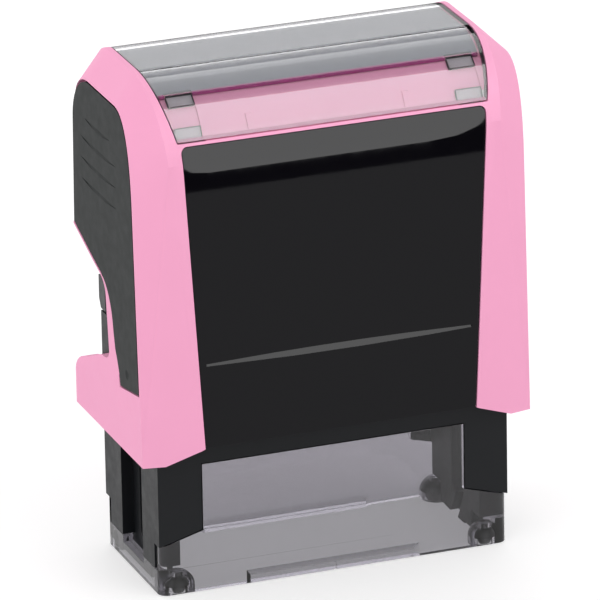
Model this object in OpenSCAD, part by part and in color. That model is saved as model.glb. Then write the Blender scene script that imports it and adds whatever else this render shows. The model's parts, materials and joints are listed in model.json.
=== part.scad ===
// Self-inking stamp. Pressing the cap turns the die over, from the ink pad above to the paper below.
// Millimetres. Front is -Y, up is +Z, and the origin is on the table under the middle of the stamp.

/* [Imprint] */
// Width of the text that it prints
imprint_w = 38; // [32:1:44]
// Depth of the text that it prints
imprint_d = 14; // [11:0.5:16]

/* [Mechanism] */
// Downward travel of the cap
stroke = 18.5; // [17:0.5:20]
// Distance from the axle to the printing face
die_reach = 5.2; // [4.8:0.1:5.8]
// Radius of the axle
axle_r = 1.4; // [1.1:0.1:1.5]
// Distance from the axle to the cam pin
cam_arm = 3.6; // [3.4:0.1:3.8]
// Radius of the cam pin
cam_pin_r = 1; // [0.8:0.1:1.1]
// How far the cam pin reaches into its groove
cam_pin_l = 1.2; // [0.8:0.1:1.3]
// Height of the die face over the paper at the end of the stroke
print_gap = 0.3; // [0.2:0.05:0.5]
// Gap between die face and ink pad at rest
ink_gap = 0.4; // [0.3:0.05:0.6]

/* [Die] */
// Thickness of the raised lines on the text plate
relief_h = 0.7; // [0.5:0.1:1]
// Width of the raised lines
line_w = 1.2; // [0.8:0.1:1.4]
// Number of raised lines in the text plate's frame
line_n = 3; // [1:1:4]
// Thickness of the text plate under its lines
plate_t = 1; // [0.8:0.1:1.2]
// Thickness of the foam between plate and holder
cushion_t = 0.7; // [0.5:0.1:0.9]
// Thickness of the holder's deck
holder_t = 1.4; // [1.2:0.1:1.6]
// How far the holder's deck stands out past the text plate in depth
holder_margin = 0.2; // [0.1:0.1:0.4]
// How far the holder's cheeks stand out past the text plate at each end
die_margin = 2; // [1.8:0.1:2.4]

/* [Frame] */
// Wall with the cam groove, at each end
cam_wall = 1.75; // [1.6:0.05:2]
// Wall with the wide drive slot, outside the cam wall
slot_wall = 1.7; // [1.4:0.1:2]
// Front and back wall
front_wall = 1.5; // [1.3:0.1:1.8]
// Width of the drive slot
slot_w = 8.2; // [7.6:0.2:9]
// Half width of the window in front and back
window_half = 18.8; // [17:0.2:20]
// Top of the window
window_top = 18.3; // [16:0.1:20]
// Lower end of the legs at the sides
leg_z = 3.6; // [3.4:0.1:4.4]
// Lower end of the legs' front, at the window
leg_front_in = 8.9; // [8:0.1:10]
// Lower end of the legs' front, at the corner
leg_front_out = 7.15; // [6.4:0.05:8]
// Lower end of the tongue that carries the cam groove down
tongue_z = 0.9; // [0.7:0.1:1.2]
// Deck over the ink cartridge
deck_t = 1.6; // [1.4:0.1:2]
// Radius of the post inside the spring
post_r = 3.3; // [2.8:0.1:3.6]
// Height of the post inside the spring
post_h = 6; // [4:0.5:7]

/* [Clear base] */
// Wall of the clear base
base_wall = 1.2; // [1:0.1:1.3]
// Height of the base's rim over the table
base_lift = 0.1; // [0.1:0.05:0.3]
// How far the base stays inside the frame's sides
base_inset = 0.05; // [0.05:0.05:0.3]
// Corner radius of the base
base_corner = 1.3; // [1:0.1:1.8]
// Half length of the ledges inside the front and back wall
ledge_half = 12.4; // [10:0.1:14]
// How far a ledge stands in
ledge_t = 0.7; // [0.5:0.1:0.9]
// Height of a ledge where it meets the wall
ledge_h = 1.6; // [1.3:0.1:2]
// Height of a ledge's upright face
ledge_face = 0.6; // [0.4:0.1:0.8]
// Height of the middle mark in the front wall's foot
tick_h = 1.1; // [0.8:0.1:1.4]
// Width of the middle mark
tick_w = 0.3; // [0.2:0.05:0.4]
// Depth of the middle mark
tick_deep = 0.15; // [0.1:0.05:0.3]
// Radius of a rubber foot, a ball that is flat underneath
foot_r = 1.3; // [1.1:0.05:1.35]
// Height of the ball's middle over the table
foot_mid = 1; // [0.8:0.05:1.05]
// Radius of a foot's neck
foot_neck_r = 0.6; // [0.5:0.05:0.7]
// Length of a foot's neck
foot_neck_h = 0.5; // [0.4:0.05:0.6]
// Distance of the feet's middle from the ends of the base
foot_in_x = 2.9; // [2.6:0.1:3.1]
// Distance of the feet's middle from the front and back of the base
foot_in_y = 1.75; // [1.7:0.05:2]
// Wall of the socket round a foot
socket_wall = 0.8; // [0.7:0.05:1]

/* [Ink cartridge] */
// Felt that inks the die
felt_t = 2; // [1.6:0.1:2.2]
// How far the felt stands out of the tray
felt_proud = 1.4; // [1.2:0.1:1.5]
// Foam that holds the ink
reservoir_t = 3.6; // [3:0.1:4]
// Margin of the felt around the imprint
felt_margin = 0.5; // [0.3:0.1:0.7]
// Walls of the tray
tray_wall = 1.6; // [1.4:0.1:1.8]
// Thickness of the grip flange at the back
flange_t = 2.5; // [2.2:0.1:2.8]
// How far the flange stands out behind the frame
flange_proud = 0.7; // [0.5:0.1:0.8]
// Height of the grip flange
flange_h = 4.6; // [4:0.1:5]
// Height of the flange over the tray's roof
flange_rise = 1.7; // [1.5:0.1:2]
// Width of the rails under the tray
rail_w = 0.9; // [0.8:0.1:1.1]
// Thickness of the rails under the tray
rail_t = 0.7; // [0.6:0.05:0.8]

/* [Cap] */
// Height of the cap
cap_h = 51.9; // [51:0.1:54]
// Height of the cap over the table at the end of the stroke
foot_clear = 1.1; // [0.8:0.1:1.6]
// Side wall of the cap
cap_wall = 2.2; // [2:0.1:2.6]
// Wall behind the front panel, at the bottom
panel_wall = 1.48; // [1.4:0.02:2]
// How far the front leans back from bottom to shoulder
front_lean = 0.6; // [0.4:0.1:0.8]
// Radius of the front shoulder
shoulder_r = 11.5; // [10.5:0.5:12]
// Radius of the back shoulder
back_r = 6.6; // [6:0.2:8]
// Half width of the front's flat middle at the bottom
crown_low = 19.6; // [18.6:0.2:20.2]
// Half width of the flat middle at the top
crown_high = 24.2; // [23.8:0.1:24.8]
// Drop of the bevel from the flat top to the sides
bevel_drop = 3.35; // [3:0.05:4]
// Set-back of the side's front edge at the bottom
edge_low = 1.6; // [1.2:0.1:2]
// Set-back of the side's front edge at the shoulder
edge_high = 2.5; // [2.2:0.1:3]
// Height over which the side's front edge bends back to its top
edge_bend = 13; // [10:0.5:16]
// How far back that bend reaches
edge_run = 6.4; // [5.6:0.1:7.2]
// Set-back of the side's back edge at the shoulder
edge_back = 0.8; // [0.5:0.1:1.2]
// Radius of the side's upper back corner
edge_r = 7.5; // [6.5:0.5:8]
// Roof under the index card
roof_t = 1.8; // [1.6:0.1:2.2]
// Level part of the arms' lower edge, from the side to where it rises to the panel
arm_rise_x = 2.9; // [2.4:0.1:3.4]
// Height of the back band over the cap's lower edge
band_h = 5.8; // [5:0.2:6.6]
// Thickness of the back band
band_t = 1.9; // [1.6:0.1:2.1]

/* [Finger notches] */
// Front edge of the notches, behind the middle
notch_y = 1.2; // [0.8:0.1:1.8]
// Lower end of a notch's upright edge, over the cap's lower edge
notch_low = 11.4; // [10.5:0.1:12]
// Upper end of a notch's upright edge, over the cap's lower edge
notch_high = 19.6; // [18.5:0.1:20.5]
// Upper back corner of a notch, over the cap's lower edge
notch_back = 26.2; // [25:0.1:27]
// Top of the foot at the back, over the cap's lower edge
foot_back = 5; // [4:0.1:6]
// Tilt of the sides above the foot's crease, in degrees
crease_tilt = 6; // [4:1:8]
// Height of that tilted strip
crease_h = 4; // [3:0.5:4.5]
// Height over the crease at which the sides are full again
crease_end = 16; // [12:1:18]

/* [Front panel] */
// Thickness of the front panel
panel_t = 1.5; // [1.4:0.1:1.8]
// Lower edge of the panel, over the cap's lower edge
panel_low = 2.05; // [1.6:0.05:2.6]
// Upper edge of the panel, over the cap's lower edge
panel_high = 44.2; // [43:0.1:44.4]
// Half width of the panel at its lower edge
panel_half_low = 19.3; // [18:0.1:19.5]
// Half width of the panel at its upper edge
panel_half_high = 21.4; // [20.5:0.1:22]
// Radius of the panel's upper corners
panel_corner = 0.9; // [0.5:0.1:1.5]
// How far the panel lies behind the cap's front
panel_sunk = 0.12; // [0.05:0.01:0.2]
// Height of the groove in the panel, over the cap's lower edge
groove_z = 13.7; // [12:0.1:16]
// Half length of the groove
groove_half = 18.8; // [16:0.2:18.8]
// Height of the groove at its middle
groove_h = 0.9; // [0.6:0.1:1.2]
// Height of the groove at its ends
groove_end = 0.3; // [0.2:0.1:0.5]
// Depth of the groove
groove_deep = 0.35; // [0.2:0.05:0.5]

/* [Grips] */
// Thickness of a side grip
grip_t = 1; // [0.8:0.1:1.2]
// Rim of the cap that shows around a grip
grip_rim = 0.3; // [0.2:0.05:0.4]
// Back end of a grip's tongue, in front of the middle
tongue_y = 4; // [3.6:0.1:4.4]
// Lower end of a grip's tongue, over the cap's lower edge
tongue_low = 8.6; // [8.2:0.1:9.4]
// Rise of the tongue's lower end towards the front
tongue_rise = 1.6; // [1.2:0.1:2]
// Number of finger grooves on a grip
rib_n = 4; // [2:1:5]
// Distance between the finger grooves
rib_step = 2.95; // [2.6:0.05:3.2]
// Height of the top finger groove, under the cap's top
rib_top = 9.8; // [9:0.1:10.5]
// Half length of a finger groove
rib_half = 7; // [5:0.5:7.5]
// Height of a finger groove
rib_h = 0.5; // [0.4:0.1:0.8]
// Depth of a finger groove
rib_deep = 0.2; // [0.1:0.05:0.3]
// Middle of the finger grooves, behind the middle
rib_y = 2.5; // [1:0.5:4]
// How much shorter the top finger groove is at each end
rib_short = 2; // [1:0.5:3]
// Radius of the touch mark, a dimple near a grip's lower end
mark_r = 0.75; // [0.5:0.05:1]
// Depth of the touch mark
mark_deep = 0.2; // [0.1:0.05:0.3]
// Distance of the touch mark in front of the middle
mark_y = 7.2; // [6:0.1:8]
// Height of the touch mark over the cap's lower edge
mark_z = 11.4; // [11:0.1:13]

/* [Index window] */
// Thickness of the clear window
window_t = 1.2; // [1:0.1:1.3]
// Thickness of the index card
card_t = 0.25; // [0.2:0.05:0.3]
// Half width of the window at its lower edge
window_half_low = 21.8; // [20.5:0.1:22]
// Half width of the window at the top
window_half_high = 23.5; // [23:0.1:23.6]
// Lower edge of the window at the front, under the cap's top
window_front_drop = 7.3; // [6.8:0.1:7.4]
// Lower edge of the window at the back, under the cap's top
window_back_drop = 5; // [4:0.1:6]
// Front end of the card, in front of the middle
card_front = 7.4; // [7:0.1:8.3]
// Back end of the card, behind the middle
card_back = 8; // [6:0.5:9]
// Gap between the card's ends and the window's ends
card_end = 0.4; // [0.3:0.1:3]
// Width of the snap bosses at the window's front corners
boss_w = 3.6; // [2.6:0.1:4]
// Height of the lower snap bosses
boss_low_h = 1.9; // [1.4:0.1:2]
// Height of the upper snap bosses
boss_high_h = 1.1; // [0.8:0.1:1.2]
// Height from the lower to the upper snap bosses
boss_split = 2.5; // [2:0.1:2.6]
// How far the snap bosses stand in under the window
boss_t = 0.6; // [0.4:0.1:0.8]
// Distance of the card's stops from the middle
stop_x = 11; // [8:0.5:14]
// Width of a card stop
stop_w = 0.9; // [0.6:0.1:1.2]
// Height of a card stop
stop_h = 1.8; // [1.2:0.1:2]

/* [Spring] */
// Wire thickness
wire_d = 0.8; // [0.6:0.1:0.9]
// Radius at the middle of the wire
coil_r = 4.5; // [4.3:0.1:4.8]
// Number of turns
turns = 9; // [6:1:10]

/* [Clearances] */
// Between the die holder and the frame at each end
end_gap = 0.5; // [0.4:0.05:0.6]
// Between the turning die and the frame's walls
sweep_gap = 0.45; // [0.4:0.05:0.6]
// Between the cap and the frame
cap_gap = 0.45; // [0.4:0.05:0.6]
// Between sliding pieces
run_gap = 0.3; // [0.25:0.05:0.35]
// Between fixed pieces that are set in each other
set_gap = 0.15; // [0.1:0.05:0.2]
// Around the grips in their recesses
grip_gap = 0.25; // [0.15:0.05:0.3]
// Under pieces that are glued or clipped on
seat_gap = 0.05; // [0.03:0.01:0.08]
// Around the axle in its bearings
bearing_gap = 0.04; // [0.02:0.01:0.08]
// Around the cam pin and the axle in the frame's tracks
track_gap = 0.15; // [0.12:0.01:0.2]

/* [Hidden] */
$fn = 48;
// Overlap that keeps two joined or cut shapes from sharing a face
eps = 0.05;
// Reach of a cut that only has to pass a wall
far = 60;

// Heights, from the table up
axle_low = die_reach + print_gap;
axle_rest = axle_low + stroke;
die_face = axle_rest + die_reach;
pad_face = die_face + ink_gap;
tray_rim = pad_face + felt_proud;
reservoir_z = pad_face + felt_t;
tray_roof = reservoir_z + reservoir_t;
tray_top = tray_roof + tray_wall;
deck_z = tray_top + run_gap;
deck_top = deck_z + deck_t;
flange_top = tray_top + flange_rise;
flange_z = flange_top - flange_h;
cap_z = stroke + foot_clear;
cap_top = cap_z + cap_h;
card_space = card_t + set_gap;
ceiling = cap_top - window_t - card_space - roof_t;
opening_top = flange_top + stroke + run_gap;
band_top = cap_z + band_h;

// Half widths, from the middle out
plate_half_x = imprint_w / 2;
cheek_x = plate_half_x + die_margin;
frame_in_x = cheek_x + end_gap;
slot_x = frame_in_x + cam_wall;
frame_x = slot_x + slot_wall;
cap_in_x = frame_x + cap_gap;
cap_x = cap_in_x + cap_wall;
base_x = frame_x - base_inset;

// Half depths, from the middle out
plate_half_y = imprint_d / 2;
sweep_r = sqrt(plate_half_y ^ 2 + die_reach ^ 2);
frame_in_y = sweep_r + sweep_gap;
frame_y = frame_in_y + front_wall;
cap_in_y = frame_y + cap_gap;
cap_y = cap_in_y + panel_wall + panel_t;
crown_y = cap_y - front_lean;
shoulder_z = cap_top - shoulder_r;

// Die stack, measured from the axle towards the printing face
plate_top = die_reach - relief_h;
cushion_top = plate_top - plate_t;
deck_face = cushion_top - cushion_t;
cheek_r = cam_arm + cam_pin_r + end_gap;

// Feet
foot_x = base_x - foot_in_x;
foot_y = frame_y - foot_in_y;
foot_top = foot_mid + foot_r + foot_neck_h;

// Distances that belong to one detail only
track_run_out = 0.15;
lug_under = 2.7;
lug_over = 4;
notch_turn = [1.5, 2.5];
heel_turn = [3, 1.1];
foot_slope = [4.4, 3];
foot_turn = 2;
corner_d = 1.95;
tray_y = frame_in_y - run_gap;
flange_back = frame_y + flange_proud;
flange_front = flange_back - flange_t;
flange_taper = 1.3;
tower_half = 6;
tower_gap = 2.5;
tower_top = ceiling - stroke - tower_gap;
ring_t = 1;
ring_h = 2;

function arc(centre, r, from, to, n = 12) =
    [for (i = [0:n]) let (a = from + (to - from) * i / n) centre + r * [cos(a), sin(a)]];

// A quadratic curve that leaves a towards b and arrives at c
function curve(a, b, c, n = 8) =
    [for (i = [0:n]) let (t = i / n) (1 - t) ^ 2 * a + 2 * t * (1 - t) * b + t ^ 2 * c];

// Draws a (y, z) outline from x0 to x1
module slab_x(x0, x1) {
    translate([x0, 0, 0]) rotate([90, 0, 90]) linear_extrude(x1 - x0) children();
}

// Draws an (x, z) outline from y0 to y1
module slab_y(y0, y1) {
    translate([0, y1, 0]) rotate([90, 0, 0]) linear_extrude(y1 - y0) children();
}

module box(low, high) {
    translate(low) cube(high - low);
}

// A box that reaches equally far to both ends
module mid_box(half, low, high) {
    box([-half, low.x, low.y], [half, high.x, high.y]);
}

module both_ends() {
    children();
    mirror([1, 0, 0]) children();
}

module front_and_back() {
    children();
    mirror([0, 1, 0]) children();
}

// A round bar along X
module bar_x(x0, x1, r, y, z) {
    translate([x0, y, z]) rotate([0, 90, 0]) cylinder(r = r, h = x1 - x0);
}

// An (x, z) outline that widens evenly from one height to another
module taper(half_low, z_low, half_high, z_high) {
    polygon([[-half_low, z_low], [half_low, z_low], [half_high, z_high], [-half_high, z_high]]);
}

// Frame: two cam walls with drive slots outside them, joined by front, back and deck

// Where the cam pin is after a share of the stroke, as (y, z)
function cam_point(t) =
    [-cam_arm * sin(180 * t), axle_rest - stroke * t + cam_arm * cos(180 * t)];

// Unit vector across the cam track at that share of the stroke
function cam_side(t) =
    let (d = [-cam_arm * PI * cos(180 * t), -stroke - cam_arm * PI * sin(180 * t)])
    [-d.y, d.x] / norm(d);

// The groove starts round and runs out of the frame's lower edge, where the pin goes in
module cam_track() {
    steps = 36;
    end = 1 + track_run_out;
    half = cam_pin_r + track_gap;
    start = atan2(cam_side(0).y, cam_side(0).x);
    polygon(concat(
        [for (i = [steps:-1:1]) cam_point(end * i / steps) + half * cam_side(end * i / steps)],
        arc(cam_point(0), half, start, start + 180),
        [for (i = [1:steps]) cam_point(end * i / steps) - half * cam_side(end * i / steps)]
    ));
}

module axle_track() {
    half = axle_r + track_gap;
    translate([0, axle_low]) circle(half);
    translate([0, axle_rest]) circle(half);
    translate([-half, axle_low]) square([2 * half, stroke]);
}

module frame_end() {
    difference() {
        union() {
            box([frame_in_x, -frame_y, leg_z], [frame_x, frame_y, deck_top]);
            box([frame_in_x, -cheek_r - end_gap, tongue_z], [slot_x, cheek_r + end_gap, leg_z + eps]);
            slab_x(frame_in_x, frame_x) polygon([
                [-tower_half, deck_top - eps], [frame_y, deck_top - eps],
                [frame_y, tower_top], [0, tower_top]
            ]);
            box([frame_in_x - rail_w, -frame_in_y - eps, tray_rim - run_gap - rail_t],
                [frame_in_x + eps, flange_front - run_gap, tray_rim - run_gap]);
        }
        slab_x(frame_in_x - eps, frame_in_x + cam_pin_l + track_gap) cam_track();
        slab_x(frame_in_x - eps, slot_x + eps) axle_track();
        box([slot_x, -slot_w / 2, 0], [far, slot_w / 2, axle_rest + lug_over + run_gap]);
    }
}

// The front faces of the legs end higher than their sides, with a slope
module leg_front_cut() {
    slab_y(frame_y - corner_d, far) polygon([
        [-far, 0], [far, 0], [far, leg_front_out], [frame_x, leg_front_out], [window_half, leg_front_in],
        [-window_half, leg_front_in], [-frame_x, leg_front_out], [-far, leg_front_out]
    ]);
}

module frame_body() {
    color("#2a2d30") difference() {
        union() {
            both_ends() frame_end();
            front_and_back() mid_box(frame_in_x + eps, [frame_in_y, leg_z], [frame_y, deck_top]);
            mid_box(frame_in_x + eps, [-frame_in_y - eps, deck_z], [frame_in_y + eps, deck_top]);
            mid_box(frame_in_x + eps, [frame_in_y, deck_top - eps], [frame_y, tower_top]);
            translate([0, 0, deck_top - eps]) cylinder(r = post_r, h = post_h + eps);
        }
        mid_box(window_half, [-far, 0], [far, window_top]);
        front_and_back() leg_front_cut();
        mid_box(frame_in_x, [0, pad_face - run_gap], [far, deck_z]);
        mid_box(far, [flange_front - run_gap, flange_z - run_gap], [far, flange_top + run_gap]);
    }
}

// Clear base: two window walls on a rim, with a socket for a rubber foot in each corner

module base_plan() {
    x = base_x - base_corner;
    y = frame_y - base_corner;
    polygon(concat(
        arc([x, y], base_corner, 0, 90, 6), arc([-x, y], base_corner, 90, 180, 6),
        arc([-x, -y], base_corner, 180, 270, 6), arc([x, -y], base_corner, 270, 360, 6)
    ));
}

module base_face() {
    half = window_half - set_gap;
    polygon([
        [-base_x, base_lift], [base_x, base_lift], [base_x, leg_front_out - set_gap],
        [half, leg_front_in - set_gap], [half, window_top - set_gap], [-half, window_top - set_gap],
        [-half, leg_front_in - set_gap], [-base_x, leg_front_out - set_gap]
    ]);
}

// The walls' outer face, rounded at the corners, from the table to a height
module base_column(top) {
    translate([0, 0, base_lift]) linear_extrude(top - base_lift) base_plan();
}

module foot_at(x, y) {
    translate([x, y, 0]) rotate_extrude() polygon(concat(
        [[0, 0]], arc([0, foot_mid], foot_r, -asin(foot_mid / foot_r), acos(foot_neck_r / foot_r)),
        [[foot_neck_r, foot_top], [0, foot_top]]
    ));
}

module foot_socket() {
    ball_r = foot_r + set_gap;
    neck_r = foot_neck_r + set_gap;
    rotate_extrude() polygon(concat(
        [[0, -eps], [ball_r, -eps]], arc([0, foot_mid], ball_r, 0, acos(neck_r / ball_r), 8),
        [[neck_r, foot_top + set_gap], [0, foot_top + set_gap]]
    ));
}

// The domed wall round a socket
module socket_dome() {
    dome_r = foot_r + set_gap + socket_wall;
    rotate_extrude() polygon(concat(
        [[0, base_lift], [dome_r, base_lift]], arc([0, foot_mid], dome_r, 0, 90)
    ));
}

// A ledge at the foot of a wall, with a sloping top and ends
module base_ledge() {
    wall = frame_y - base_wall;
    intersection() {
        slab_x(-ledge_half, ledge_half) polygon([
            [wall - ledge_t, base_lift], [wall - ledge_t, base_lift + ledge_face],
            [wall, base_lift + ledge_h], [wall + eps, base_lift + ledge_h], [wall + eps, base_lift]
        ]);
        linear_extrude(far) polygon([
            [-ledge_half, frame_y], [-ledge_half, wall], [ledge_t - ledge_half, wall - ledge_t],
            [ledge_half - ledge_t, wall - ledge_t], [ledge_half, wall], [ledge_half, frame_y]
        ]);
    }
}

module at_feet() {
    for (x = [-foot_x, foot_x], y = [-foot_y, foot_y]) translate([x, y, 0]) children();
}

module clear_base() {
    rim_top = leg_z - set_gap;
    color("#a6a4a8") difference() {
        union() {
            intersection() {
                base_column(window_top);
                front_and_back() slab_y(frame_y - base_wall, frame_y) base_face();
            }
            difference() {
                base_column(rim_top);
                mid_box(slot_x + set_gap, [-frame_y + base_wall, 0], [frame_y - base_wall, far]);
            }
            intersection() {
                base_column(rim_top);
                at_feet() socket_dome();
            }
            front_and_back() base_ledge();
        }
        mid_box(far, [-slot_w / 2, axle_low - lug_under - run_gap], [slot_w / 2, far]);
        at_feet() foot_socket();
        mid_box(tick_w / 2, [-far, 0], [-frame_y + tick_deep, base_lift + tick_h]);
    }
}

module foot_front_left() { color("#1c1c1d") foot_at(-foot_x, -foot_y); }
module foot_front_right() { color("#1c1c1d") foot_at(foot_x, -foot_y); }
module foot_back_left() { color("#1c1c1d") foot_at(-foot_x, foot_y); }
module foot_back_right() { color("#1c1c1d") foot_at(foot_x, foot_y); }

// Spring: one wire, wound from the deck to the cap's ceiling

rings_per_turn = 8;
spring_rings = rings_per_turn * turns;
spring_low = deck_top + wire_d / 2 + seat_gap;
spring_high = ceiling - wire_d / 2 - seat_gap;
function wire_point(i) = let (a = 360 * turns * i / spring_rings)
    [coil_r * cos(a), coil_r * sin(a), spring_low + (spring_high - spring_low) * i / spring_rings];

module return_spring() {
    sides = 6;
    rise = atan2(spring_high - spring_low, 2 * PI * coil_r * turns);
    points = [for (i = [0:spring_rings], k = [0:sides - 1])
        let (a = 360 * turns * i / spring_rings, b = 360 * k / sides, r = wire_d / 2,
             out = [cos(a), sin(a), 0], up = [sin(rise) * sin(a), -sin(rise) * cos(a), cos(rise)])
        wire_point(i) + r * cos(b) * out + r * sin(b) * up];
    function at(i, k) = i * sides + k % sides;
    faces = concat(
        [for (i = [0:spring_rings - 1], k = [0:sides - 1]) [at(i, k), at(i + 1, k), at(i + 1, k + 1)]],
        [for (i = [0:spring_rings - 1], k = [0:sides - 1]) [at(i, k), at(i + 1, k + 1), at(i, k + 1)]],
        [for (k = [1:sides - 2]) [at(0, 0), at(0, k), at(0, k + 1)]],
        [for (k = [1:sides - 2]) [at(spring_rings, 0), at(spring_rings, k + 1), at(spring_rings, k)]]
    );
    echo(least_gap_in_spring = min([for (i = [0:spring_rings], j = [i + rings_per_turn / 2:spring_rings])
        norm(wire_point(i) - wire_point(j)) - wire_d]));
    color("silver") polyhedron(points, faces);
}

// Ink cartridge: tray with a grip flange, foam and felt

felt_x = plate_half_x + felt_margin;
felt_y = plate_half_y + felt_margin;

module ink_tray() {
    tray_x = frame_in_x - run_gap;
    color("#3a3b3c") difference() {
        union() {
            mid_box(tray_x, [-tray_y, tray_rim], [flange_front + eps, tray_top]);
            slab_x(-frame_x, frame_x) polygon([
                [flange_front, flange_z], [flange_back - flange_taper / 2, flange_z],
                [flange_back, flange_z + flange_taper], [flange_back, flange_top],
                [flange_front, flange_top]
            ]);
        }
        mid_box(felt_x + seat_gap, [-felt_y - seat_gap, 0], [felt_y + seat_gap, tray_roof]);
    }
}

module ink_reservoir() {
    color("#26262b") mid_box(felt_x, [-felt_y, reservoir_z], [felt_y, tray_roof]);
}

module ink_pad() {
    color("#141418") mid_box(felt_x, [-felt_y, pad_face], [felt_y, reservoir_z]);
}

// Cap: one moulding with a flat front and top, bevelled towards two flat sides

// Side view of the cap's middle, a given depth under its skin
function crown_outline(inset) = concat(
    [[-cap_y + inset, cap_z]],
    arc([shoulder_r - crown_y, shoulder_z], shoulder_r - inset, 180, 90),
    arc([crown_y - back_r, cap_top - back_r], back_r - inset, 90, 0),
    [[cap_y - inset, cap_z + foot_back], [cap_y - inset, cap_z]]
);

// A layer of the cap's middle, between two depths under its skin
module crown_layer(outer, inner) {
    slab_x(-cap_x, cap_x) difference() {
        polygon(crown_outline(outer));
        polygon(crown_outline(inner));
    }
}

// Side view of the cap's two flat sides, a given distance inside their edge
edge_top = cap_top - bevel_drop;
side_front = crown_y - edge_high;
side_back = crown_y - edge_back;
function side_outline(inset) = let (
    low = [-cap_y + edge_low + inset, cap_z],
    bend = [-side_front + inset, edge_top - edge_bend],
    lean = (bend.x - low.x) / (bend.y - low.y),
    top = edge_top - inset
) concat(
    [low],
    curve(bend, [bend.x + lean * edge_bend, top], [-side_front + edge_run, top], 12),
    arc([side_back - edge_r, edge_top - edge_r], edge_r - inset, 90, 0),
    [[cap_y - inset, cap_z + foot_back], [cap_y - inset, cap_z]]
);

module cap_form() {
    hull() {
        intersection() {
            slab_x(-cap_x, cap_x) polygon(crown_outline(0));
            slab_y(-cap_y, cap_y) taper(crown_low, cap_z, crown_high, cap_top);
        }
        both_ends() slab_x(cap_x - eps, cap_x) polygon(side_outline(0));
    }
}

// The hollow that drops over the frame, arched under the roof
module cap_hollow() {
    slab_x(-cap_in_x, cap_in_x) {
        translate([-cap_in_y, 0]) square([cap_in_y + cap_y - band_t, deck_top + stroke + end_gap]);
        polygon(concat(
            [[shoulder_r - cap_in_y, cap_z], [cap_top - ceiling - crown_y, cap_z]],
            arc([shoulder_r - crown_y, shoulder_z], shoulder_r - cap_top + ceiling, 180, 90),
            [[cap_in_y - tower_gap, ceiling], [cap_in_y, tower_top + stroke + end_gap], [cap_in_y, cap_z]]
        ));
    }
}

// Upper corner of a finger notch, where its upright edge bends back
notch_bend = [notch_y, cap_z + notch_high] + notch_turn;

// Side view of the notch that lets a finger reach the cartridge's flange
module notch_outline() {
    heel = [notch_y, cap_z + notch_low];
    foot = [cap_y, cap_z + foot_back];
    polygon(concat(
        [[far, cap_z + notch_back + (far - cap_y) / 2], [cap_y, cap_z + notch_back]],
        curve(notch_bend, [notch_y, notch_bend.y - notch_turn.x / 2], [notch_y, cap_z + notch_high]),
        curve(heel, [notch_y, heel.y - heel_turn.y], [notch_y + heel_turn.x, heel.y - heel_turn.y], 4),
        curve(foot + [-foot_slope.x, foot_slope.y], foot + [0, foot_turn], foot, 6),
        [[far, foot.y]]
    ));
}

module panel_region(gap) {
    low = [panel_half_low - gap, cap_z + panel_low + gap];
    corner = [panel_half_high - panel_corner, cap_z + panel_high - panel_corner];
    slab_y(-far, 0) polygon(concat(
        [[-low.x, low.y], low], arc(corner, panel_corner - gap, 0, 90, 6),
        arc([-corner.x, corner.y], panel_corner - gap, 90, 180, 6)
    ));
}

// The space of the index window: down to one edge in front and another at the back
module window_region(gap) {
    intersection() {
        slab_y(-far, far) taper(window_half_low - gap, cap_top - window_front_drop,
            window_half_high - gap, cap_top + eps);
        slab_x(-cap_x, cap_x) polygon([
            [-far, cap_top - window_front_drop + gap], [0, cap_top - window_front_drop + gap],
            [0, cap_top - window_back_drop + gap], [far, cap_top - window_back_drop + gap],
            [far, cap_top + far], [-far, cap_top + far]
        ]);
    }
}

// Snap bosses at the window's front corners, square to the shoulder's skin, between two heights on it
boss_x = window_half_low - 2 * set_gap;
boss_z = cap_top - window_front_drop + set_gap;
boss_high_z = boss_z + boss_low_h + boss_split;
boss_top = boss_high_z + boss_high_h;
function skin_angle(z) = 180 - asin((z - shoulder_z) / shoulder_r);
module boss_region(low, high, gap) {
    middle = [shoulder_r - crown_y, shoulder_z];
    both_ends() slab_x(boss_x - boss_w - gap, boss_x + gap) polygon(concat(
        [middle], arc(middle, cap_y, skin_angle(low - gap), skin_angle(high + gap), 4)
    ));
}

// Shallow valley in a side over the foot, from a crease that drops towards the back
module crease_valley() {
    front = [-tongue_y, cap_z + tongue_low];
    back = [cap_y, cap_z + foot_back];
    translate([cap_x, front.x, front.y]) rotate([atan2(back.y - front.y, back.x - front.x), 0, 0])
        slab_y(0, far) polygon([
            [0, 0], [-crease_h * tan(crease_tilt), crease_h], [0, crease_end], [far, crease_end], [far, 0]
        ]);
}

// Side view of a grip: the whole side, drawn out at the back, down to a tongue in front of the finger notch
module grip_outline(gap, back) {
    inset = grip_rim + gap;
    tip = [-tongue_y - gap, cap_z + tongue_low + gap];
    bend = notch_bend + [0, inset];
    intersection() {
        union() {
            polygon(side_outline(inset));
            translate([back, 0]) polygon(side_outline(inset));
        }
        polygon(concat(
            [[cap_y, cap_top], [cap_y, cap_z + notch_back + inset]],
            curve(bend, [bend.x - tongue_y, bend.y - notch_turn.x], [-tongue_y / 2, (bend.y + tip.y) / 2]),
            curve([-tongue_y / 2 - inset, (bend.y + 2 * tip.y) / 3], tip + [0, tongue_rise], tip, 4),
            [[-cap_y, tip.y + tongue_rise], [-cap_y, cap_top]]
        ));
    }
}

// Bearing of the axle, in the frame's drive slot
module lug() {
    half = slot_w / 2 - run_gap;
    difference() {
        box([slot_x + set_gap, -half, axle_rest - lug_under], [cap_in_x + eps, half, axle_rest + lug_over]);
        bar_x(slot_x - eps, cap_in_x, axle_r + bearing_gap, 0, axle_rest);
    }
}

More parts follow.
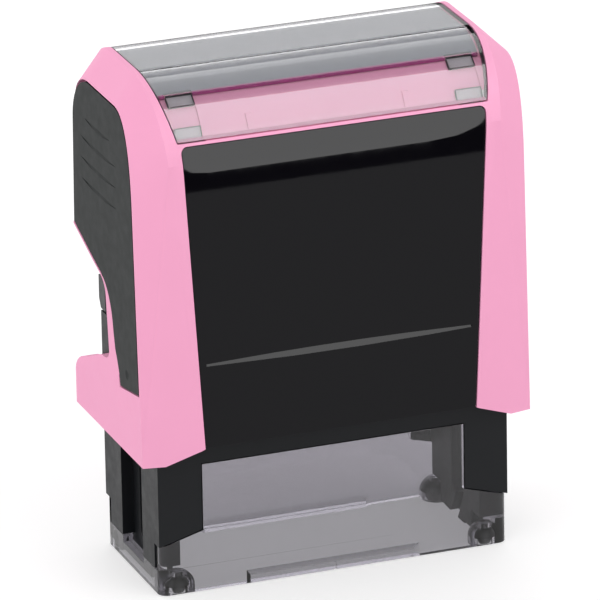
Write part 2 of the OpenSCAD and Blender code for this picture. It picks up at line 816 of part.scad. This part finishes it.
module cap_shell() {
    color("#f6a3cc") {
        difference() {
            cap_form();
            cap_hollow();
            both_ends() slab_x(cap_in_x - eps, far) notch_outline();
            both_ends() slab_x(cap_x - grip_t, far) grip_outline(0, 2 * grip_rim);
            both_ends() crease_valley();
            mid_box(cap_in_x, [0, band_top], [far, opening_top]);
            intersection() {
                crown_layer(-eps, panel_t);
                panel_region(0);
            }
            intersection() {
                crown_layer(-eps, window_t + card_space);
                window_region(0);
            }
            intersection() {
                crown_layer(0, window_t + boss_t + set_gap);
                boss_region(boss_z, boss_top + set_gap, set_gap);
            }
            slab_y(-far, 0) taper(cap_x - arm_rise_x, cap_z - eps, panel_half_low, cap_z + panel_low);
        }
        both_ends() lug();
        translate([0, 0, ceiling - ring_h]) difference() {
            cylinder(r = coil_r + wire_d + ring_t, h = ring_h + eps);
            translate([0, 0, -eps]) cylinder(r = coil_r + wire_d, h = ring_h + eps);
        }
        intersection() {
            crown_layer(window_t + seat_gap, window_t + card_space + eps);
            both_ends() box([stop_x - stop_w / 2, -far, boss_z], [stop_x + stop_w / 2, 0, boss_z + stop_h]);
        }
    }
}

// The panel's groove: its floor slopes in from its lower edge
module panel_groove() {
    face_y = -cap_y + front_lean * groove_z / (shoulder_z - cap_z) + panel_sunk;
    half_h = groove_h / 2;
    end_h = groove_end / 2;
    top = curve([-groove_half, end_h], [0, groove_h - end_h], [groove_half, end_h], 12);
    bottom = curve([groove_half, -end_h], [0, end_h - groove_h], [-groove_half, -end_h], 12);
    translate([0, face_y, cap_z + groove_z - half_h]) rotate([-atan(groove_deep / groove_h), 0, 0])
        slab_y(-far, 0) translate([0, half_h]) polygon(concat(top, bottom));
}

module front_panel() {
    color("#161518") difference() {
        intersection() {
            crown_layer(panel_sunk, panel_t - seat_gap);
            panel_region(set_gap);
        }
        panel_groove();
    }
}

// A finger groove that rises and thins towards both ends, and whose floor slopes in from its lower edge
module finger_groove(half) {
    rotate([0, -atan(rib_deep / rib_h), 0]) slab_x(0, far)
        polygon(curve([-half, rib_h], [0, -rib_h], [half, rib_h]));
}

module grip_at_right() {
    mark_ball_r = (mark_r ^ 2 + mark_deep ^ 2) / (2 * mark_deep);
    difference() {
        slab_x(cap_x - grip_t + seat_gap, cap_x) grip_outline(grip_gap, grip_rim);
        for (i = [0:rib_n - 1]) translate([cap_x, rib_y, cap_top - rib_top - i * rib_step])
            finger_groove(i == 0 ? rib_half - rib_short : rib_half);
        translate([cap_x + mark_ball_r - mark_deep, -mark_y, cap_z + mark_z]) sphere(mark_ball_r);
    }
}

module left_grip() { color("#484b49") mirror([1, 0, 0]) grip_at_right(); }
module right_grip() { color("#484b49") grip_at_right(); }

module index_card() {
    top = window_t + seat_gap;
    color("#c9c6d2") difference() {
        intersection() {
            crown_layer(top, top + card_t);
            window_region(card_end);
            mid_box(cap_x, [-card_front, cap_top - shoulder_r / 2], [card_back, cap_top]);
        }
        boss_region(boss_z, boss_top + set_gap, set_gap);
    }
}

module index_window() {
    color("#b9bac4") {
        intersection() {
            crown_layer(seat_gap, window_t);
            window_region(set_gap);
        }
        intersection() {
            crown_layer(window_t - eps, window_t + boss_t);
            union() {
                boss_region(boss_z, boss_z + boss_low_h, 0);
                boss_region(boss_high_z, boss_top, 0);
            }
        }
    }
}

// Die: holder with cheeks and cam pins, and the plate that prints

module die_holder() {
    edge = plate_half_y + holder_margin;
    deck_x = plate_half_x + holder_margin;
    tube_r = axle_r + holder_t;
    color("#55585b") translate([0, 0, axle_rest]) difference() {
        union() {
            mid_box(deck_x + eps, [-edge, deck_face - holder_t], [edge, deck_face]);
            front_and_back() mid_box(deck_x, [edge - holder_t, 0], [edge, deck_face - holder_t + eps]);
            bar_x(-cheek_x, cheek_x, tube_r, 0, 0);
            both_ends() bar_x(deck_x, cheek_x, cheek_r, 0, 0);
            both_ends() bar_x(cheek_x - eps, frame_in_x + cam_pin_l, cam_pin_r, 0, cam_arm);
        }
        bar_x(-cheek_x - eps, cheek_x + eps, axle_r + bearing_gap, 0, 0);
    }
}

module die_axle() {
    color("silver") bar_x(-cap_in_x + run_gap, cap_in_x - run_gap, axle_r, 0, axle_rest);
}

module plate_cushion() {
    color("#d8d2c4") translate([0, 0, axle_rest])
        mid_box(plate_half_x, [-plate_half_y, deck_face], [plate_half_y, cushion_top]);
}

// Raised frame and lines that stand for the text
module text_plate() {
    margin = 2 * line_w;
    step = (imprint_d - 2 * margin) / line_n;
    color("#8a3a36") translate([0, 0, axle_rest]) {
        mid_box(plate_half_x, [-plate_half_y, cushion_top], [plate_half_y, plate_top]);
        difference() {
            mid_box(plate_half_x, [-plate_half_y, plate_top - eps], [plate_half_y, die_reach]);
            mid_box(plate_half_x - line_w, [line_w - plate_half_y, 0], [plate_half_y - line_w, far]);
        }
        for (i = [0:line_n - 1]) translate([0, (i + 0.5) * step + margin - plate_half_y, 0])
            mid_box(plate_half_x - margin * (1 + i), [-line_w / 2, plate_top - eps],
                [line_w / 2, die_reach]);
    }
}

frame_body();
clear_base();
foot_front_left();
foot_front_right();
foot_back_left();
foot_back_right();
return_spring();
ink_tray();
ink_reservoir();
ink_pad();
cap_shell();
front_panel();
left_grip();
right_grip();
index_card();
index_window();
die_holder();
die_axle();
plate_cushion();
text_plate();
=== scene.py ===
import json
import math

import bmesh
import bpy
from mathutils import Matrix, Vector


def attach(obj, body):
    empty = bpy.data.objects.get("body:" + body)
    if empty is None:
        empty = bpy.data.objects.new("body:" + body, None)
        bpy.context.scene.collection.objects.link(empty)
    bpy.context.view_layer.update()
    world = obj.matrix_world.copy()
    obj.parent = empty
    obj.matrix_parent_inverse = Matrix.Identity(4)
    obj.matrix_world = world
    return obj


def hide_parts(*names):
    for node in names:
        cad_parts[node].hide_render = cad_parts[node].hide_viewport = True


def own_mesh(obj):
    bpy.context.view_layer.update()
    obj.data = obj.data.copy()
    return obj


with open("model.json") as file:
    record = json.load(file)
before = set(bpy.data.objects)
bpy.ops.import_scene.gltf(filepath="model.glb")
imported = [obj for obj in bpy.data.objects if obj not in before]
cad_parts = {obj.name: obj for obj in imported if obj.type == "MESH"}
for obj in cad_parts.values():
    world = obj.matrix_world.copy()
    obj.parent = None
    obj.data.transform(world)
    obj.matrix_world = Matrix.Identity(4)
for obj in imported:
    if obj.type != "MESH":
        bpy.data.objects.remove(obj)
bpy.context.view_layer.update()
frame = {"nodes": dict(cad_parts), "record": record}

scene = bpy.context.scene
scene.view_settings.view_transform = "Standard"
MM = 0.001


# Camera: fitted to the photograph's perspective

AZIMUTH, ELEVATION, ROLL = math.radians(-20.30), math.radians(20.60), math.radians(-1.03)
CAMERA_PLACE = Vector((-341.75, -922.69, 404.85)) * MM
LENS_MM, SENSOR_MM = 471.29, 36


def add_camera():
    back = Vector((
        math.sin(AZIMUTH) * math.cos(ELEVATION),
        -math.cos(AZIMUTH) * math.cos(ELEVATION),
        math.sin(ELEVATION),
    ))
    right = (-back).cross(Vector((0, 0, 1))).normalized()
    up = right.cross(-back)
    turned_right = math.cos(ROLL) * right + math.sin(ROLL) * up
    turned_up = -math.sin(ROLL) * right + math.cos(ROLL) * up
    data = bpy.data.cameras.new("camera")
    data.lens = LENS_MM
    data.sensor_width = SENSOR_MM
    data.clip_start, data.clip_end = 0.05, 20
    camera = bpy.data.objects.new("camera", data)
    axes = Matrix((turned_right, turned_up, back)).transposed().to_4x4()
    camera.matrix_world = Matrix.Translation(CAMERA_PLACE) @ axes
    scene.collection.objects.link(camera)
    scene.camera = camera


add_camera()


# Node helpers

NOISE_LOW, NOISE_HIGH = 0.3, 0.7


def srgb(r, g, b):
    """A colour from its 0 to 255 screen values, as linear RGBA."""
    def linear(v):
        v /= 255
        return v / 12.92 if v <= 0.04045 else ((v + 0.055) / 1.055) ** 2.4
    return (linear(r), linear(g), linear(b), 1.0)


def shaded(colour, share):
    return tuple(c * share for c in colour[:3]) + (1.0,)


def new_material(name):
    material = bpy.data.materials.new(name)
    material.use_nodes = True
    return material, material.node_tree.nodes, material.node_tree.links


def noise(nodes, links, scale, detail, stretch=None):
    """3-D noise in the object's own metres, scaled per metre."""
    coords = nodes.new("ShaderNodeTexCoord")
    texture = nodes.new("ShaderNodeTexNoise")
    texture.inputs["Scale"].default_value = scale
    texture.inputs["Detail"].default_value = detail
    if stretch:
        mapping = nodes.new("ShaderNodeMapping")
        mapping.inputs["Scale"].default_value = stretch
        links.new(coords.outputs["Object"], mapping.inputs["Vector"])
        links.new(mapping.outputs["Vector"], texture.inputs["Vector"])
    else:
        links.new(coords.outputs["Object"], texture.inputs["Vector"])
    return texture.outputs["Fac"]


def between(nodes, links, factor, low, high):
    """Maps a noise to a range of numbers."""
    ranged = nodes.new("ShaderNodeMapRange")
    ranged.inputs["From Min"].default_value = NOISE_LOW
    ranged.inputs["From Max"].default_value = NOISE_HIGH
    ranged.inputs["To Min"].default_value = low
    ranged.inputs["To Max"].default_value = high
    links.new(factor, ranged.inputs["Value"])
    return ranged.outputs["Result"]


def two_tone(nodes, links, factor, dark, light):
    ramp = nodes.new("ShaderNodeValToRGB")
    ramp.color_ramp.elements[0].position = NOISE_LOW
    ramp.color_ramp.elements[0].color = dark
    ramp.color_ramp.elements[1].position = NOISE_HIGH
    ramp.color_ramp.elements[1].color = light
    links.new(factor, ramp.inputs["Fac"])
    return ramp.outputs["Color"]


def bumps(nodes, links, height, distance):
    bump = nodes.new("ShaderNodeBump")
    bump.inputs["Strength"].default_value = 1.0
    bump.inputs["Distance"].default_value = distance
    links.new(height, bump.inputs["Height"])
    return bump.outputs["Normal"]


# Materials: noise scales are per metre, depths in metres

CLOUDS, GLOSS_PATCHES = 140, 700


def moulded(name, colour, rough, grain=9000, grain_depth=4e-6, tone=0.05, specular=0.5):
    """Moulded plastic or rubber: a fine grain, slight changes of colour and of gloss."""
    material, nodes, links = new_material(name)
    shader = nodes["Principled BSDF"]
    cloudy = noise(nodes, links, CLOUDS, 2)
    links.new(two_tone(nodes, links, cloudy, shaded(colour, 1 - tone), shaded(colour, 1 + tone)),
              shader.inputs["Base Color"])
    gloss = noise(nodes, links, GLOSS_PATCHES, 3)
    links.new(between(nodes, links, gloss, *rough), shader.inputs["Roughness"])
    links.new(bumps(nodes, links, noise(nodes, links, grain, 2), grain_depth), shader.inputs["Normal"])
    shader.inputs["Specular IOR Level"].default_value = specular
    return material


CLEAR_IOR = 1.49
CLEAR_ROUGH = (0.0, 0.03)
HAZE_PATCHES = 300
FLOW_MARKS, FLOW_STRETCH, FLOW_DEPTH = 160, (1, 1, 3), 6e-6


def clear(name, skin, tint, density):
    """Clear moulded plastic that darkens at its skin and with its thickness, with faint flow marks."""
    material, nodes, links = new_material(name)
    shader = nodes["Principled BSDF"]
    shader.inputs["Base Color"].default_value = skin
    shader.inputs["Transmission Weight"].default_value = 1.0
    shader.inputs["IOR"].default_value = CLEAR_IOR
    haze = noise(nodes, links, HAZE_PATCHES, 2)
    links.new(between(nodes, links, haze, *CLEAR_ROUGH), shader.inputs["Roughness"])
    flow = noise(nodes, links, FLOW_MARKS, 2, FLOW_STRETCH)
    links.new(bumps(nodes, links, flow, FLOW_DEPTH), shader.inputs["Normal"])
    smoke = nodes.new("ShaderNodeVolumeAbsorption")
    smoke.inputs["Color"].default_value = tint
    smoke.inputs["Density"].default_value = density
    links.new(smoke.outputs["Volume"], nodes["Material Output"].inputs["Volume"])
    return material


STREAKS, STREAK_STRETCH = 1500, (0.08, 1, 1)
STEEL_ROUGH = (0.22, 0.4)


def steel(name, colour):
    """Drawn metal, with streaks along X."""
    material, nodes, links = new_material(name)
    shader = nodes["Principled BSDF"]
    shader.inputs["Metallic"].default_value = 1.0
    drawn = noise(nodes, links, STREAKS, 2, STREAK_STRETCH)
    links.new(two_tone(nodes, links, drawn, shaded(colour, 0.85), colour), shader.inputs["Base Color"])
    links.new(between(nodes, links, drawn, *STEEL_ROUGH), shader.inputs["Roughness"])
    return material


def fibres(name, colour, scale, depth, tone=0.3, rough=0.9):
    """Felt, foam or paper: loose fibres or cells."""
    material, nodes, links = new_material(name)
    shader = nodes["Principled BSDF"]
    grain = noise(nodes, links, scale, 5)
    links.new(two_tone(nodes, links, grain, shaded(colour, 1 - tone), shaded(colour, 1 + tone)),
              shader.inputs["Base Color"])
    shader.inputs["Roughness"].default_value = rough
    shader.inputs["Sheen Weight"].default_value = 0.15
    links.new(bumps(nodes, links, grain, depth), shader.inputs["Normal"])
    return material


PINK = moulded("pink_satin", srgb(244, 166, 201), (0.5, 0.6), grain_depth=3e-6, tone=0.008, specular=0.25)
PANEL = moulded("panel_gloss", srgb(10, 9, 13), (0.02, 0.035), grain=400, grain_depth=1e-6, tone=0.01,
                specular=0.3)
FRAME = moulded("frame_matte", srgb(17, 19, 22), (0.4, 0.5), tone=0.015, specular=0.22)
# Painted shade: the near-black maroon of the gap round each side grip, put on the grip's walls
GRIP_WALL_SHADE = moulded("grip_rim", srgb(18, 10, 14), (0.7, 0.8), tone=0.02, specular=0.1)
GRIP = moulded("grip_soft_touch", srgb(46, 48, 48), (0.7, 0.8), grain_depth=5e-6, tone=0.012, specular=0.3)
RUBBER = moulded("foot_rubber", srgb(12, 12, 13), (0.4, 0.5))
TRAY = moulded("tray_matte", srgb(58, 59, 60), (0.5, 0.65), grain_depth=5e-6)
HOLDER = moulded("holder_plastic", srgb(85, 88, 91), (0.4, 0.55))
PLATE = moulded("plate_rubber", srgb(138, 58, 54), (0.6, 0.8), grain=5000, grain_depth=8e-6)
SMOKE = (0.5, 0.49, 0.52, 1)
SMOKY = clear("smoky_clear", (0.72, 0.71, 0.74, 1), SMOKE, 530)
WINDOW = clear("window_clear", (1, 1, 1, 1), SMOKE, 230)
# Painted shade: opaque dark walls that draw the dark outlines at the clear window's ends and round its
# bosses
WINDOW_EDGE_SHADE = moulded("window_edge_painted_shade", srgb(34, 30, 36), (0.3, 0.4), tone=0.02)
# Painted highlight: the pale grey and white that the clear bosses catch, put on their ends as an opaque
# colour
BOSS_END_HIGHLIGHT = moulded("boss_end_painted_highlight", srgb(226, 219, 225), (0.2, 0.3), tone=0.03)
STEEL = steel("drawn_steel", srgb(215, 216, 218))
FELT = fibres("ink_felt", srgb(30, 30, 38), 4000, 6e-5)
FOAM = fibres("ink_foam", srgb(42, 42, 52), 2500, 8e-5)
CUSHION = fibres("cushion_foam", srgb(216, 210, 196), 2500, 6e-5, tone=0.1)
# Painted shade: the dark magenta line in the crevice between the card's front edge and the pink roof
CARD_EDGE_SHADE = moulded("card_edge_painted_shade", srgb(160, 3, 114), (0.5, 0.6), tone=0.02)
PAPER = fibres("card_paper", srgb(102, 108, 122), 3000, 2e-6, tone=0.03, rough=0.8)


# Rounded pieces

def body_of_node(name):
    bodies = frame["record"]["behaviour"]["bodies"]
    return next(body for body, members in bodies.items() if name in members)


def adopt(piece, node, material):
    piece.data.materials.clear()
    piece.data.materials.append(material)
    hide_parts(node)
    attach(piece, body_of_node(node))
    return piece


ROUNDED, TIP, FLAT = math.radians(28), math.radians(20), math.radians(0.6)
SAME_POINT = 2e-6


def ends_in_tip(edge, creases):
    """True where an edge meets another crease at a sharp point, as at the ends of a groove."""
    for end in edge.verts:
        along = edge.other_vert(end).co - end.co
        for other in end.link_edges:
            if other != edge and other in creases and along.angle(other.other_vert(end).co - end.co) < TIP:
                return True
    return False


def finished(node, material, edge, segments=3, grow=0.0, flat_share=90, crease_from=14):
    """The node's own form with its moulded edges rounded, and grown where it has to meet its socket.

    Edge and grow are in millimetres.
    At a flat_share of 100 the largest faces keep their own shading right up to the rounded edges.
    A fold of fewer than crease_from degrees is shaded smooth.
    """
    mesh = frame["nodes"][node].data.copy()
    solid = bmesh.new()
    solid.from_mesh(mesh)
    bmesh.ops.remove_doubles(solid, verts=solid.verts, dist=SAME_POINT)
    bmesh.ops.dissolve_degenerate(solid, edges=solid.edges, dist=SAME_POINT)
    bmesh.ops.dissolve_limit(solid, angle_limit=FLAT, verts=solid.verts, edges=solid.edges)
    bmesh.ops.recalc_face_normals(solid, faces=solid.faces)
    weight = solid.edges.layers.float.new("bevel_weight_edge")
    creases = {fold for fold in solid.edges if fold.calc_face_angle(0) > math.radians(crease_from)}
    for crease in creases:
        if crease.calc_face_angle() > ROUNDED and not ends_in_tip(crease, creases):
            crease[weight] = 1.0
        else:
            crease.smooth = False
    for face in solid.faces:
        face.smooth = True
    if grow:
        for vert in solid.verts:
            vert.co += vert.normal * grow * MM
            vert.co.z = max(vert.co.z, 0)
    solid.to_mesh(mesh)
    solid.free()
    mesh.normals_split_custom_set([(0, 0, 0)] * len(mesh.loops))
    piece = bpy.data.objects.new(node + "_finished", mesh)
    scene.collection.objects.link(piece)
    rounding = piece.modifiers.new("rounded_edges", "BEVEL")
    rounding.width = edge * MM
    rounding.segments = segments
    rounding.limit_method = "WEIGHT"
    rounding.miter_outer = "MITER_ARC"
    rounding.use_clamp_overlap = True
    normals = piece.modifiers.new("weighted_normals", "WEIGHTED_NORMAL")
    normals.keep_sharp = True
    normals.weight = flat_share
    normals.thresh = 1e-6
    return adopt(piece, node, material)


def tint(piece, material, chosen):
    """Gives the chosen faces of a piece another material."""
    piece.data.materials.append(material)
    for face in piece.data.polygons:
        if chosen(face):
            face.material_index = len(piece.data.materials) - 1


def front_of(piece):
    return min(vert.co.y for vert in piece.data.vertices)


# Side grips: their walls carry painted shade, darker than their faces, as the shadow in the gap round each
# grip

GRIP_FACE_DEPTH = 0.3 * MM


def add_grip(side):
    grip = finished(side + "_grip", GRIP, edge=0.15)
    face_x = max(abs(vert.co.x) for vert in grip.data.vertices) - GRIP_FACE_DEPTH
    # The walls below the grip's face take the painted shade of the gap
    tint(grip, GRIP_WALL_SHADE, lambda face: abs(face.normal.x) < 0.5 and abs(face.center.x) < face_x)


# Index window: boss ends painted pale as a painted highlight, side walls and boss walls painted dark as
# painted shade, and a front edge that shows the cap's pink

BOSS_INNER_X, BOSS_OUTER_X = 17.5 * MM, 22 * MM
BOSS_FACE_AREA = 10 * MM * MM
SQUARE_ON = 0.9
FRONT_SHARE = 0.8


def add_window():
    window = finished("index_window", WINDOW, edge=0.15)
    front_y = FRONT_SHARE * front_of(window)
    # The small faces of the bosses take the painted highlight
    tint(window, BOSS_END_HIGHLIGHT, lambda face: (
        BOSS_INNER_X < abs(face.center.x) < BOSS_OUTER_X and face.area < BOSS_FACE_AREA))
    boss = window.data.materials.find(BOSS_END_HIGHLIGHT.name)
    # The window's end walls and the bosses' upper and lower walls take the painted shade
    tint(window, WINDOW_EDGE_SHADE, lambda face: abs(face.normal.x) > SQUARE_ON or (
        face.material_index == boss and face.normal.y * face.normal.z > 0))
    tint(window, PINK, lambda face: face.normal.z < -SQUARE_ON and face.center.y < front_y)


# Index card: a strip of painted shade along its front edge, the dark magenta of the crevice under that edge

CARD_SHADE_WIDTH = 0.4


def mark_line_behind_front(piece, width):
    """Cuts a line across a piece, that far behind its front, and gives where it lies."""
    line = front_of(piece) + width * MM
    solid = bmesh.new()
    solid.from_mesh(piece.data)
    everything = solid.verts[:] + solid.edges[:] + solid.faces[:]
    bmesh.ops.bisect_plane(solid, geom=everything, plane_co=(0, line, 0), plane_no=(0, 1, 0))
    solid.to_mesh(piece.data)
    solid.free()
    return line


def add_index_card():
    card = finished("index_card", PAPER, edge=0.03, segments=1)
    line = mark_line_behind_front(card, CARD_SHADE_WIDTH)
    # The strip along the front edge takes the painted shade
    tint(card, CARD_EDGE_SHADE, lambda face: face.center.y < line)


# Rubber feet, grown to fill their sockets

FOOT_GAP = 0.155


def add_feet():
    for place in ("front_left", "front_right", "back_left", "back_right"):
        finished("foot_" + place, RUBBER, edge=0.1, segments=2, grow=FOOT_GAP)


finished("cap_shell", PINK, edge=0.2, crease_from=27)
finished("front_panel", PANEL, edge=0.3, flat_share=100)
add_grip("left")
add_grip("right")
add_window()
add_index_card()
finished("frame_body", FRAME, edge=0.2)
finished("clear_base", SMOKY, edge=0.2)
add_feet()
finished("ink_tray", TRAY, edge=0.25)
finished("ink_reservoir", FOAM, edge=0.3)
finished("ink_pad", FELT, edge=0.3)
finished("die_holder", HOLDER, edge=0.2)
finished("die_axle", STEEL, edge=0.25, segments=2)
finished("plate_cushion", CUSHION, edge=0.1, segments=2)
finished("text_plate", PLATE, edge=0.15, segments=2)


# Return spring: the same winding as the solid, drawn round

WIRE_R, COIL_R, TURNS = 0.4, 4.5, 9
SPRING_LOW, SPRING_HIGH = 39.15, 67.65
RINGS_PER_TURN, WIRE_SIDES = 28, 12


def wire_loops(wire):
    """The rings of corners along the winding."""
    rings = RINGS_PER_TURN * TURNS
    rise = math.atan2(SPRING_HIGH - SPRING_LOW, 2 * math.pi * COIL_R * TURNS)
    loops = []
    for i in range(rings + 1):
        share = i / rings
        a = 2 * math.pi * TURNS * share
        out = Vector((math.cos(a), math.sin(a), 0))
        up = Vector((math.sin(rise) * math.sin(a), -math.sin(rise) * math.cos(a), math.cos(rise)))
        middle = COIL_R * out + Vector((0, 0, SPRING_LOW + (SPRING_HIGH - SPRING_LOW) * share))
        corners = (2 * math.pi * k / WIRE_SIDES for k in range(WIRE_SIDES))
        loops.append([
            wire.verts.new((middle + WIRE_R * (math.cos(b) * out + math.sin(b) * up)) * MM) for b in corners
        ])
    return loops


def add_spring():
    wire = bmesh.new()
    loops = wire_loops(wire)
    for low, high in zip(loops, loops[1:]):
        for k in range(WIRE_SIDES):
            wire.faces.new((low[k], low[k - 1], high[k - 1], high[k]))
    wire.faces.new(loops[0])
    wire.faces.new(list(reversed(loops[-1])))
    bmesh.ops.recalc_face_normals(wire, faces=wire.faces)
    for face in wire.faces:
        face.smooth = len(face.verts) == 4
    mesh = bpy.data.meshes.new("return_spring_wire")
    wire.to_mesh(mesh)
    wire.free()
    piece = bpy.data.objects.new("return_spring_wire", mesh)
    scene.collection.objects.link(piece)
    adopt(piece, "return_spring", STEEL)
    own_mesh(piece)


add_spring()


# Studio: white floor and world, soft lamps that reflections don't see, and cards that only reflections see

AMBIENT = 0.78
FLOOR_TONE, FLOOR_GLOW, FLOOR_REACH = 0.65, 0.44, 3.0
LAMP_AIM = (0, 0, 0.035)


def white_for_views(nodes, links):
    """1 for camera, glossy and transmission rays, otherwise 0."""
    path = nodes.new("ShaderNodeLightPath")
    most = path.outputs["Is Camera Ray"]
    for name in ("Is Glossy Ray", "Is Transmission Ray"):
        larger = nodes.new("ShaderNodeMath")
        larger.operation = "MAXIMUM"
        links.new(most, larger.inputs[0])
        links.new(path.outputs[name], larger.inputs[1])
        most = larger.outputs[0]
    return most


def add_world():
    world = bpy.data.worlds.new("studio")
    scene.world = world
    world.use_nodes = True
    nodes, links = world.node_tree.nodes, world.node_tree.links
    background = nodes["Background"]
    background.inputs["Color"].default_value = (1, 1, 1, 1)
    strength = nodes.new("ShaderNodeMapRange")
    strength.inputs["To Min"].default_value = AMBIENT
    strength.inputs["To Max"].default_value = 1.0
    links.new(white_for_views(nodes, links), strength.inputs["Value"])
    links.new(strength.outputs["Result"], background.inputs["Strength"])


def rectangle(left, right, low, high):
    return [(left, low), (right, low), (right, high), (left, high)]


def add_floor():
    mesh = bpy.data.meshes.new("floor")
    corners = rectangle(-FLOOR_REACH, FLOOR_REACH, -FLOOR_REACH, FLOOR_REACH)
    mesh.from_pydata([(x, y, 0) for x, y in corners], [], [(0, 1, 2, 3)])
    floor = bpy.data.objects.new("floor", mesh)
    scene.collection.objects.link(floor)
    material, nodes, links = new_material("floor_white")
    shader = nodes["Principled BSDF"]
    shader.inputs["Base Color"].default_value = (FLOOR_TONE, FLOOR_TONE, FLOOR_TONE, 1)
    shader.inputs["Roughness"].default_value = 1.0
    shader.inputs["Specular IOR Level"].default_value = 0.0
    shader.inputs["Emission Color"].default_value = (1, 1, 1, 1)
    glow = nodes.new("ShaderNodeMath")
    glow.operation = "MULTIPLY"
    glow.inputs[1].default_value = FLOOR_GLOW
    links.new(white_for_views(nodes, links), glow.inputs[0])
    links.new(glow.outputs[0], shader.inputs["Emission Strength"])
    mesh.materials.append(material)


def add_lamp(name, place, size, power):
    """A soft lamp, in metres and watts, that lights the object without showing in glossy surfaces."""
    data = bpy.data.lights.new(name, "AREA")
    data.shape = "RECTANGLE"
    data.size, data.size_y = size
    data.energy = power
    lamp = bpy.data.objects.new(name, data)
    lamp.location = place
    lamp.rotation_mode = "QUATERNION"
    lamp.rotation_quaternion = (Vector(LAMP_AIM) - Vector(place)).to_track_quat("-Z", "Y")
    lamp.visible_glossy = False
    scene.collection.objects.link(lamp)


def add_card(name, corners, brightness):
    """A studio card or flag, in millimetres, that only shows in glossy surfaces."""
    mesh = bpy.data.meshes.new(name)
    mesh.from_pydata([Vector(corner) * MM for corner in corners], [], [tuple(range(len(corners)))])
    card = bpy.data.objects.new(name, mesh)
    scene.collection.objects.link(card)
    material, nodes, links = new_material(name)
    nodes.remove(nodes["Principled BSDF"])
    glow = nodes.new("ShaderNodeEmission")
    glow.inputs["Strength"].default_value = brightness
    links.new(glow.outputs["Emission"], nodes["Material Output"].inputs["Surface"])
    mesh.materials.append(material)
    card.visible_camera = card.visible_diffuse = False
    card.visible_transmission = card.visible_shadow = False


def add_upright_card(name, y, outline, brightness):
    add_card(name, [(x, y, z) for x, z in outline], brightness)


def add_level_card(name, z, outline, brightness):
    add_card(name, [(x, y, z) for x, y in outline], brightness)


def add_panel_cards():
    """What the front panel mirrors: a bright band near its top, a black gap under it, then dark grey."""
    front_y, left, right = -113, -60, 130
    low, gap_low, gap_high, top = 0.5, 22.9, 26, 104
    grey, band = 0.62, 3.7
    add_level_card("floor_flag", low, rectangle(left, right, -60, front_y), grey)
    add_upright_card("low_flag", front_y, rectangle(left, right, low, gap_low), grey)
    add_upright_card("dark_flag", front_y, rectangle(left, right, gap_low, top), 0.0)
    rounded_band = [
        (17, gap_high), (51, gap_high), (55, 31), (57, 45), (58.5, 62), (61, 80), (62, top - 1),
        (10, top - 1), (10.5, 60), (12, 42), (14, 31),
    ]
    add_upright_card("soft_box", front_y + 1, rounded_band, band)
    high_outline = [(5, top + 1), (65, top + 1), (85, 178), (155, 405), (85, 405), (15, 178)]
    add_upright_card("high_box", front_y, high_outline, 7.2)


def add_window_cards():
    """What the window mirrors: a grey roof, a dark line where it bends, and a bright shoulder."""
    sky_z, sky_front = 600, 20
    add_level_card("top_flag", sky_z, rectangle(120, 260, -140, sky_front), 0.05)
    add_level_card("sky_box", sky_z, [(120, sky_front), (260, sky_front), (380, 560), (220, 560)], 3.3)
    back_y, left, right = 200, 20, 140
    low, grey_low, flag_low, flag_high = 0.5, 126, 156, 310
    add_upright_card("back_low", back_y, rectangle(left, right, low, grey_low), 0.15)
    add_upright_card("back_grey", back_y, rectangle(left, right, grey_low, flag_low), 1.1)
    add_upright_card("back_flag", back_y, rectangle(left, right, flag_low, flag_high), 0.0)


add_world()
add_floor()
add_lamp("key_left", (-0.75, -0.2, 0.22), (1.2, 0.4), 2.1)
add_lamp("fill_right", (0.5, -0.7, 0.4), (1.0, 0.7), 2.8)
add_lamp("back", (0.1, 0.8, 0.5), (1.0, 0.8), 2.4)
add_panel_cards()
add_window_cards()
